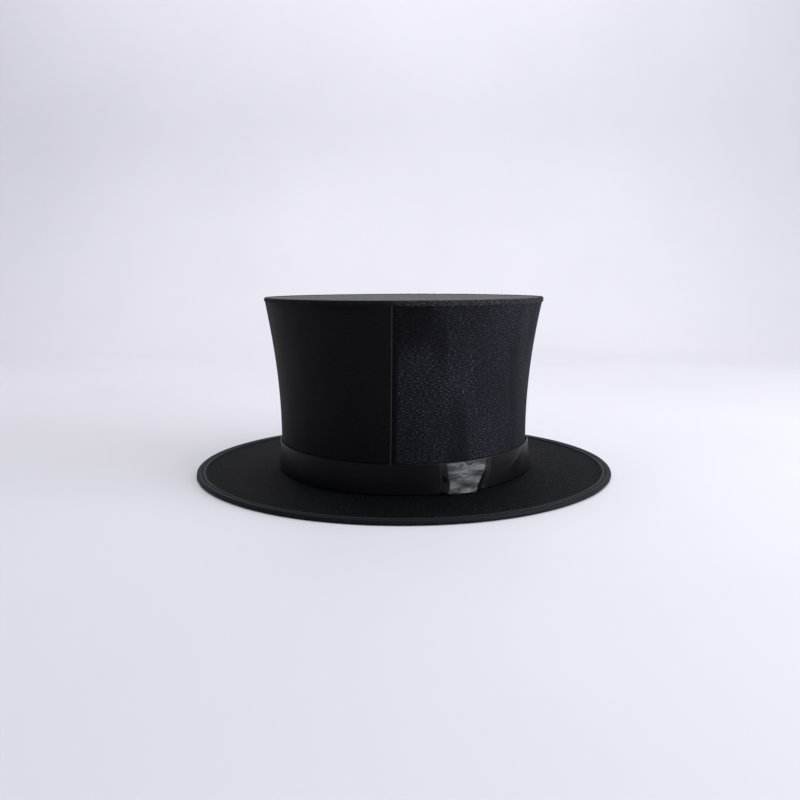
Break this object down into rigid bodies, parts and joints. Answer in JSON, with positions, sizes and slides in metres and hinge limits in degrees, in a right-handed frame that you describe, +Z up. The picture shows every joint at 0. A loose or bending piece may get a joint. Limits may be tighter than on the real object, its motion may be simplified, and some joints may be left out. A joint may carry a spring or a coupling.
{
  "type": "collapsible top hat",
  "caption": "Collapsible top hat: cloth-covered crown on four sprung folding struts, ribbon band, and a flat oval brim with a wired, stitched edge.",
  "frame": {"origin": "centre of the hat's box, on the floor plane that the brim rests on", "axes": "+Z up, +Y the way the wearer looks (the long axis of the oval), +X to the wearer's right"},
  "size_m": [0.3232, 0.3472, 0.135],
  "materials": {
    "crown_cloth": "finely ribbed black satin-faced cloth, taut, with a soft sheen",
    "edge_cloth": "matte black cloth strip with a short fuzzy nap",
    "ribbon": "black satin ribbon with fine cross ribs",
    "lining": "smooth black lining satin",
    "sweatband_leather": "thin brown leather, stitched along its lower edge",
    "stiff_board": "shellac-stiffened cloth board",
    "spring_steel": "flat spring-steel strip",
    "rivet_steel": "plated rivets, pins and spring wire"
  },
  "bodies": {
    "hat_base": {"brim_under_cover": "crown_cloth", "brim_board": "stiff_board", "brim_top_cover": "crown_cloth", "brim_edge_wire": "spring_steel", "brim_edge_binding": "edge_cloth", "base_hoop": "spring_steel", "base_rivets": "rivet_steel", "collar_board": "stiff_board", "collar_cover": "crown_cloth", "hat_band": "ribbon", "band_join": "ribbon", "side_cover_left": "crown_cloth", "side_cover_right": "crown_cloth", "back_seam": "crown_cloth", "front_seam": "crown_cloth", "side_lining": "lining", "sweatband": "sweatband_leather", "sweatband_bow": "ribbon", "base_bracket_back": "spring_steel", "base_bracket_front": "spring_steel", "base_bracket_left": "spring_steel", "base_bracket_right": "spring_steel", "base_pin_back": "rivet_steel", "base_pin_front": "rivet_steel", "base_pin_left": "rivet_steel", "base_pin_right": "rivet_steel"},
    "lower_arm_back": {"lower_arm_back": "spring_steel", "knee_pin_back": "rivet_steel", "knee_spring_back": "rivet_steel"},
    "upper_arm_back": {"upper_arm_back": "spring_steel"},
    "lower_arm_front": {"lower_arm_front": "spring_steel", "knee_pin_front": "rivet_steel", "knee_spring_front": "rivet_steel"},
    "upper_arm_front": {"upper_arm_front": "spring_steel"},
    "lower_arm_left": {"lower_arm_left": "spring_steel", "knee_pin_left": "rivet_steel", "knee_spring_left": "rivet_steel"},
    "upper_arm_left": {"upper_arm_left": "spring_steel"},
    "lower_arm_right": {"lower_arm_right": "spring_steel", "knee_pin_right": "rivet_steel", "knee_spring_right": "rivet_steel"},
    "upper_arm_right": {"upper_arm_right": "spring_steel"},
    "crown_top": {"top_pin_back": "rivet_steel", "top_pin_front": "rivet_steel", "top_pin_left": "rivet_steel", "top_pin_right": "rivet_steel", "top_bracket_back": "spring_steel", "top_bracket_front": "spring_steel", "top_bracket_left": "spring_steel", "top_bracket_right": "spring_steel", "top_rivets": "rivet_steel", "top_hoop": "spring_steel", "tip_board": "stiff_board", "tip_cover": "crown_cloth", "tip_binding": "edge_cloth", "tip_lining": "lining"}
  },
  "joints": [
    {"name": "base_hinge_back", "type": "hinge", "parent": "hat_base", "child": "lower_arm_back", "pos_m": [0, -0.1032, 0.0095], "axis": [-0.3575, 0.9339, 0], "range_deg": [0, 80], "stiffness_Nm_per_rad": 0.4, "springref_deg": -17.19, "deforming": ["side_cover_left", "side_cover_right", "back_seam", "front_seam", "side_lining"]},
    {"name": "knee_back", "type": "hinge", "parent": "lower_arm_back", "child": "upper_arm_back", "pos_m": [0, -0.1032, 0.067], "axis": [-0.3575, 0.9339, 0], "range_deg": [-160, 0], "deforming": ["knee_spring_back"]},
    {"name": "crown_hinge", "type": "hinge", "parent": "upper_arm_back", "child": "crown_top", "pos_m": [0, -0.1032, 0.1245], "axis": [-0.3575, 0.9339, 0], "range_deg": [0, 80]},
    {"name": "base_hinge_front", "type": "hinge", "parent": "hat_base", "child": "lower_arm_front", "pos_m": [0, 0.1032, 0.0095], "axis": [0.3575, -0.9339, 0], "range_deg": [0, 80]},
    {"name": "knee_front", "type": "hinge", "parent": "lower_arm_front", "child": "upper_arm_front", "pos_m": [0, 0.1032, 0.067], "axis": [0.3575, -0.9339, 0], "range_deg": [-160, 0], "deforming": ["knee_spring_front"]},
    {"name": "base_hinge_left", "type": "hinge", "parent": "hat_base", "child": "lower_arm_left", "pos_m": [-0.0912, 0, 0.0095], "axis": [0.9658, 0.2593, 0], "range_deg": [0, 80]},
    {"name": "knee_left", "type": "hinge", "parent": "lower_arm_left", "child": "upper_arm_left", "pos_m": [-0.0912, 0, 0.067], "axis": [0.9658, 0.2593, 0], "range_deg": [-160, 0], "deforming": ["knee_spring_left"]},
    {"name": "base_hinge_right", "type": "hinge", "parent": "hat_base", "child": "lower_arm_right", "pos_m": [0.0912, 0, 0.0095], "axis": [-0.9658, -0.2593, 0], "range_deg": [0, 80]},
    {"name": "knee_right", "type": "hinge", "parent": "lower_arm_right", "child": "upper_arm_right", "pos_m": [0.0912, 0, 0.067], "axis": [-0.9658, -0.2593, 0], "range_deg": [-160, 0], "deforming": ["knee_spring_right"]}
  ],
  "couplings": [
    {"joint": "knee_back", "follows": "base_hinge_back", "ratio": -2},
    {"joint": "base_hinge_front", "follows": "base_hinge_back", "ratio": 1},
    {"joint": "knee_front", "follows": "base_hinge_back", "ratio": -2},
    {"joint": "base_hinge_left", "follows": "base_hinge_back", "ratio": 1},
    {"joint": "knee_left", "follows": "base_hinge_back", "ratio": -2},
    {"joint": "base_hinge_right", "follows": "base_hinge_back", "ratio": 1},
    {"joint": "knee_right", "follows": "base_hinge_back", "ratio": -2},
    {"joint": "crown_hinge", "follows": "base_hinge_back", "ratio": 1}
  ]
}
